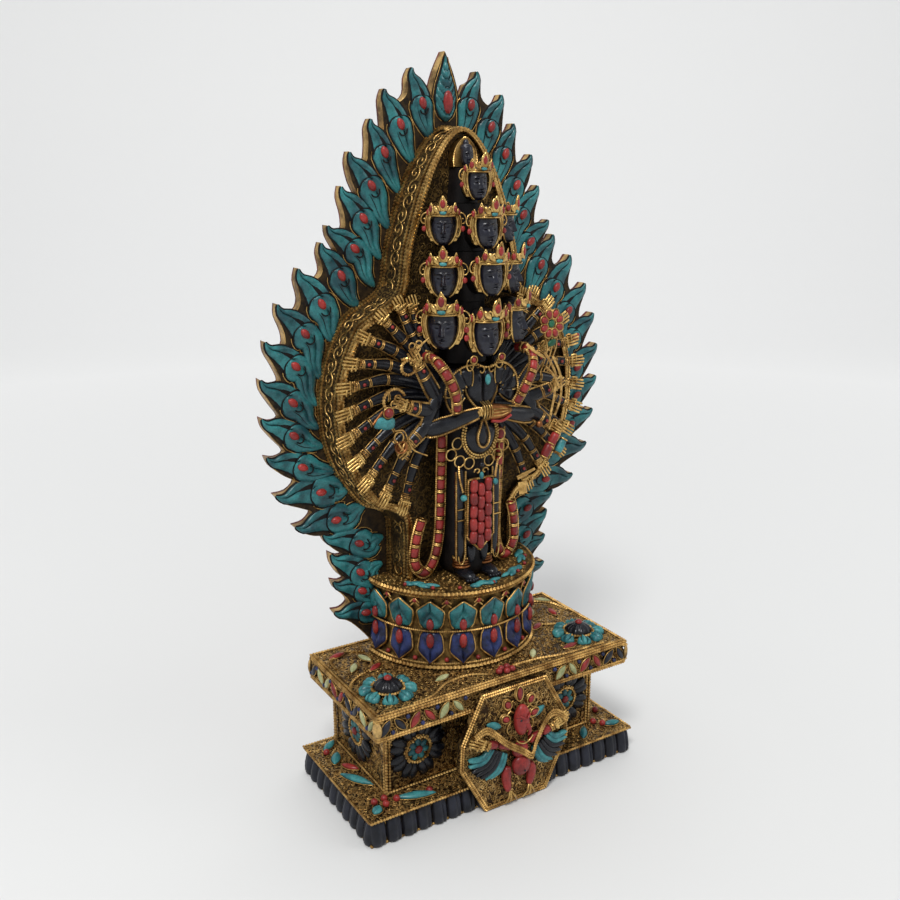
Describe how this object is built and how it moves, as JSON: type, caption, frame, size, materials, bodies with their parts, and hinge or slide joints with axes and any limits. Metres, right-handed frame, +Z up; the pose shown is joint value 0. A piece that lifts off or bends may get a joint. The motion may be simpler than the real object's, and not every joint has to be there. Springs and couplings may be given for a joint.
{
  "type": "avalokiteshvara statue",
  "caption": "Standing many-headed, many-armed figure before a flame halo on a half lotus and stepped throne, a shelf or altar ornament that rests on its flat underside.",
  "frame": {"origin": "middle of the throne's flat underside", "axes": "+Z up, -Y to the front that the figure faces, +X to the viewer's right seen from the front"},
  "size_m": [0.2468, 0.1075, 0.4498],
  "materials": {
    "turquoise": "carved turquoise paste stone, satin, dark in its grooves",
    "coral": "polished red coral",
    "gilt": "gilt filigree wire on blackened ground, aged",
    "black_stone": "polished black and dark blue stone, satin",
    "lapis": "dark lapis, polished"
  },
  "bodies": {
    "root": {"arm_fan_left": "black_stone", "arm_fan_right": "black_stone", "coral_apron": "coral", "figure_body": "black_stone", "flame_halo": "turquoise", "front_arms_left": "black_stone", "front_arms_right": "black_stone", "front_panel": "gilt", "garuda": "coral", "halo_shrine": "gilt", "head_top": "black_stone", "head_wrathful": "black_stone", "heads_high": "black_stone", "heads_low": "black_stone", "heads_middle": "black_stone", "long_scarf_left": "coral", "long_scarf_right": "coral", "lotus_flower": "coral", "lotus_pedestal": "gilt", "rosette_left": "turquoise", "rosette_right": "turquoise", "shoulder_scarf_left": "coral", "shoulder_scarf_right": "coral", "throne_foot": "lapis", "throne_table": "gilt", "throne_waist": "gilt"}
  },
  "joints": []
}
